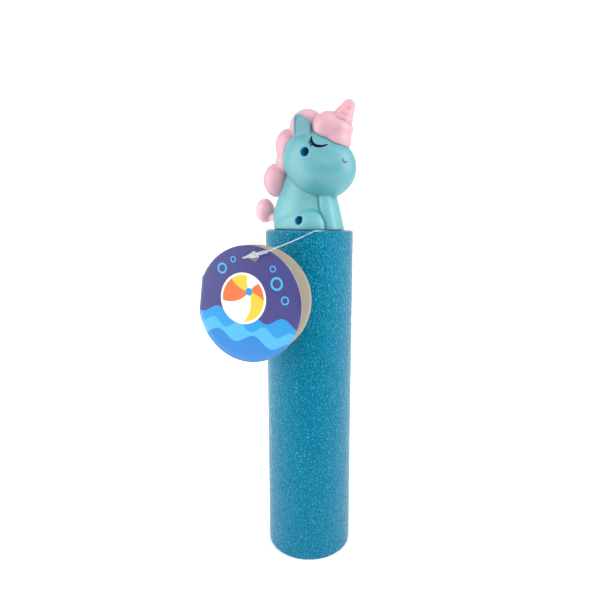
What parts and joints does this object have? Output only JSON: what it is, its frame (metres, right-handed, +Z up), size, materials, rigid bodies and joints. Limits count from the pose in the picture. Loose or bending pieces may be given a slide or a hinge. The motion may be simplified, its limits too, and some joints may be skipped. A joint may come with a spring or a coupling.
{
  "type": "foam water squirter",
  "caption": "Hand water squirter: a foam-sleeved tube with a nozzle, a sliding plunger whose handle is a seated unicorn, and a folded round swing tag on a nylon loop.",
  "frame": {"origin": "centre of the nozzle's mouth, in the flat bottom that the squirter stands on", "axes": "+Z up the barrel along the plunger's axis, +X the way the unicorn looks, the unicorn's shells meet on the plane Y = 0"},
  "size_m": [0.0656, 0.0777, 0.2604],
  "materials": {
    "foam": "matte",
    "aqua_plastic": "satin",
    "pink_plastic": "satin",
    "white_plastic": "satin",
    "seal_rubber": "satin",
    "screw_steel": "satin",
    "nylon": "gloss",
    "tag_inside": "matte",
    "tag_print": "satin"
  },
  "bodies": {
    "barrel": {"foam_sleeve": "foam", "barrel_tube": "white_plastic", "nozzle_cap": "aqua_plastic", "guide_cap": "aqua_plastic", "loop_top": "nylon"},
    "seal": {"piston_seal": "seal_rubber"},
    "plunger": {"plunger_rod": "white_plastic", "piston_head": "white_plastic", "right_shell": "aqua_plastic", "left_shell": "aqua_plastic", "mane": "pink_plastic", "forelock": "pink_plastic", "horn": "pink_plastic", "tail": "pink_plastic", "upper_screw": "screw_steel", "lower_screw": "screw_steel"},
    "tag": {"loop_hang": "nylon", "loop_lock": "nylon", "tag_back": "tag_inside"},
    "tag_cover": {"tag_front": "tag_print"}
  },
  "joints": [
    {"name": "plunger_slide", "type": "slide", "parent": "barrel", "child": "seal", "axis": [0, 0, 1], "range_m": [0, 0.15]},
    {"name": "plunger_spin", "type": "hinge", "parent": "seal", "child": "plunger", "pos_m": [0, 0, 0.019], "axis": [0, 0, 1], "continuous": true},
    {"name": "tag_swing", "type": "hinge", "parent": "barrel", "child": "tag", "pos_m": [0.0152, -0.02032, 0.1925], "axis": [-0.9655, 0.2604, 0], "range_deg": [0, 45]},
    {"name": "tag_fold", "type": "hinge", "parent": "tag", "child": "tag_cover", "pos_m": [-0.0361, -0.05121, 0.15915], "axis": [-0.1055, -0.0609, -0.9925], "range_deg": [-22, 0], "stiffness_Nm_per_rad": 0.002}
  ]
}
